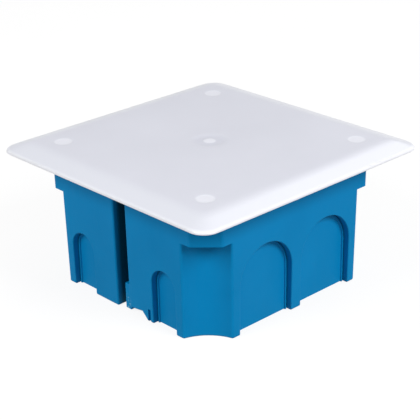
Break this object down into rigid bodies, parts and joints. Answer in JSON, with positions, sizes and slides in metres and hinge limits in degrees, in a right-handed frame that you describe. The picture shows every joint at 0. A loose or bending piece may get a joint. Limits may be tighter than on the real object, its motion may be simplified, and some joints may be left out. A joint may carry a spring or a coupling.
{
  "type": "electrical junction box",
  "caption": "Square flush-mounting electrical junction box: blue moulded box with arched break-out knock-outs, linking slots and hollowed corners, and a white press-on lid.",
  "frame": {"origin": "centre of the box's floor, in the plane of its underside", "axes": "+Z out of the wall towards the lid; -Y is the front wall with the linking slot and narrow knock-outs; +X is the right wall with the wide knock-outs"},
  "size_m": [0.107, 0.107, 0.0518],
  "materials": {
    "blue_plastic": "satin injection moulded polypropylene, blue",
    "white_plastic": "semi-gloss injection moulded plastic, cool white"
  },
  "bodies": {
    "box": {"box_shell": "blue_plastic"},
    "lid": {"lid": "white_plastic"},
    "knockout_right_front": {"knockout_right_front": "blue_plastic"},
    "knockout_right_rear": {"knockout_right_rear": "blue_plastic"},
    "knockout_left_front": {"knockout_left_front": "blue_plastic"},
    "knockout_left_rear": {"knockout_left_rear": "blue_plastic"},
    "knockout_front_left": {"knockout_front_left": "blue_plastic"},
    "knockout_front_right": {"knockout_front_right": "blue_plastic"},
    "knockout_back_left": {"knockout_back_left": "blue_plastic"},
    "knockout_back_right": {"knockout_back_right": "blue_plastic"},
    "floor_knockout_1": {"floor_knockout_1": "blue_plastic"},
    "floor_knockout_2": {"floor_knockout_2": "blue_plastic"},
    "floor_knockout_3": {"floor_knockout_3": "blue_plastic"},
    "floor_knockout_4": {"floor_knockout_4": "blue_plastic"}
  },
  "joints": [
    {"name": "lid_lift", "type": "slide", "parent": "box", "child": "lid", "axis": [0, 0, 1], "range_m": [0, 0.06]},
    {"name": "knockout_right_front_out", "type": "slide", "parent": "box", "child": "knockout_right_front", "axis": [1, 0, 0], "range_m": [0, 0.015]},
    {"name": "knockout_right_rear_out", "type": "slide", "parent": "box", "child": "knockout_right_rear", "axis": [1, 0, 0], "range_m": [0, 0.015]},
    {"name": "knockout_left_front_out", "type": "slide", "parent": "box", "child": "knockout_left_front", "axis": [-1, 0, 0], "range_m": [0, 0.015]},
    {"name": "knockout_left_rear_out", "type": "slide", "parent": "box", "child": "knockout_left_rear", "axis": [-1, 0, 0], "range_m": [0, 0.015]},
    {"name": "knockout_front_left_out", "type": "slide", "parent": "box", "child": "knockout_front_left", "axis": [0, -1, 0], "range_m": [0, 0.015]},
    {"name": "knockout_front_right_out", "type": "slide", "parent": "box", "child": "knockout_front_right", "axis": [0, -1, 0], "range_m": [0, 0.015]},
    {"name": "knockout_back_left_out", "type": "slide", "parent": "box", "child": "knockout_back_left", "axis": [0, 1, 0], "range_m": [0, 0.015]},
    {"name": "knockout_back_right_out", "type": "slide", "parent": "box", "child": "knockout_back_right", "axis": [0, 1, 0], "range_m": [0, 0.015]},
    {"name": "floor_knockout_1_in", "type": "slide", "parent": "box", "child": "floor_knockout_1", "axis": [0, 0, 1], "range_m": [0, 0.015]},
    {"name": "floor_knockout_2_in", "type": "slide", "parent": "box", "child": "floor_knockout_2", "axis": [0, 0, 1], "range_m": [0, 0.015]},
    {"name": "floor_knockout_3_in", "type": "slide", "parent": "box", "child": "floor_knockout_3", "axis": [0, 0, 1], "range_m": [0, 0.015]},
    {"name": "floor_knockout_4_in", "type": "slide", "parent": "box", "child": "floor_knockout_4", "axis": [0, 0, 1], "range_m": [0, 0.015]}
  ]
}
